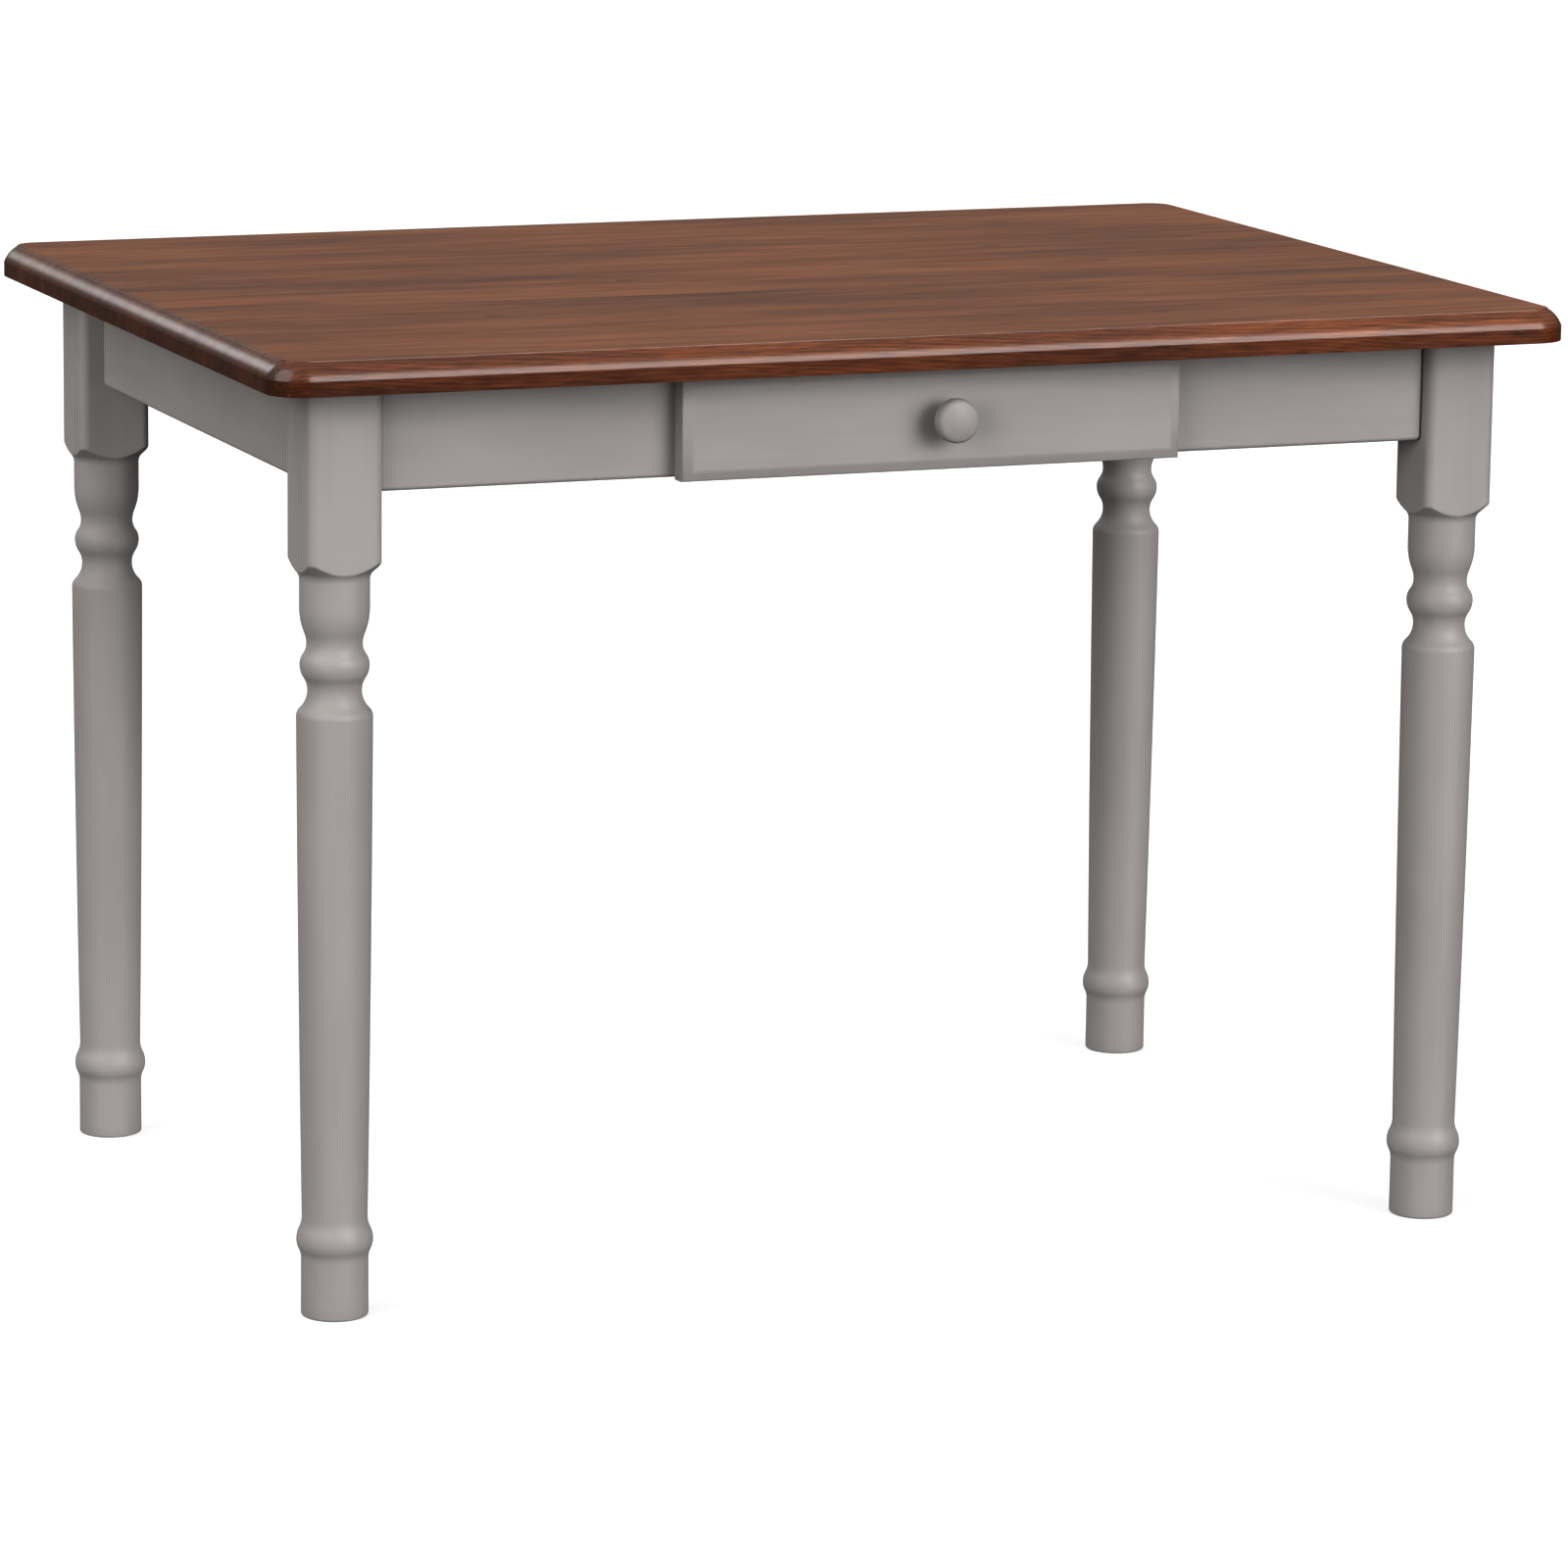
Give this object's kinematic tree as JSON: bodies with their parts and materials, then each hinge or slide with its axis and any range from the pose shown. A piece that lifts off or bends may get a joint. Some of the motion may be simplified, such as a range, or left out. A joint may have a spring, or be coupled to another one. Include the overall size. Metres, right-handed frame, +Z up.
{
  "type": "kitchen table with drawer",
  "caption": "Rectangular kitchen table: solid stained top with moulded edge, turned painted legs, apron frame and a bevel-fronted drawer with a round knob.",
  "frame": {"origin": "on the floor under the middle of the table top", "axes": "+X along the table to the right as seen from the drawer side, -Y out of the drawer side, +Z up"},
  "size_m": [1.09, 0.776, 0.76],
  "materials": {
    "stained_top": "satin lacquer over brown stain",
    "painted_wood": "satin warm grey paint",
    "pine": "bare sanded pine",
    "beech": "bare beech",
    "plywood": "bare birch plywood",
    "zinc_steel": "zinc plated steel"
  },
  "bodies": {
    "table": {"table_top": "stained_top", "leg_front_left": "painted_wood", "leg_front_right": "painted_wood", "leg_back_left": "painted_wood", "leg_back_right": "painted_wood", "corner_block_front_left": "pine", "corner_block_front_right": "pine", "corner_block_back_left": "pine", "corner_block_back_right": "pine", "front_apron": "painted_wood", "back_apron": "painted_wood", "left_apron": "painted_wood", "right_apron": "painted_wood", "apron_dowels": "beech", "hanger_bolts": "zinc_steel", "bolt_washers": "zinc_steel", "bolt_nuts": "zinc_steel", "corner_block_screws": "zinc_steel", "top_screws": "zinc_steel", "runner_left": "pine", "runner_right": "pine", "kicker_left": "pine", "kicker_right": "pine", "runner_dowels": "beech", "top_button_front_left": "beech", "top_button_front_right": "beech", "top_button_back_left": "beech", "top_button_back_right": "beech", "top_button_left_front": "beech", "top_button_left_back": "beech", "top_button_right_front": "beech", "top_button_right_back": "beech"},
    "drawer": {"drawer_front": "painted_wood", "drawer_subfront": "pine", "drawer_side_left": "pine", "drawer_side_right": "pine", "drawer_back": "pine", "drawer_bottom": "plywood", "drawer_front_screws": "zinc_steel", "drawer_bottom_screws": "zinc_steel", "drawer_knob": "painted_wood", "knob_screw": "zinc_steel", "stop_button_screw": "zinc_steel"},
    "stop_button": {"stop_button": "beech"}
  },
  "joints": [
    {"name": "drawer_slide", "type": "slide", "parent": "table", "child": "drawer", "axis": [0, -1, 0], "range_m": [0, 0.3417]},
    {"name": "stop_button_turn", "type": "hinge", "parent": "drawer", "child": "stop_button", "pos_m": [0.008, 0.04, 0.7013], "axis": [0, 1, 0], "range_deg": [0, 90]}
  ]
}
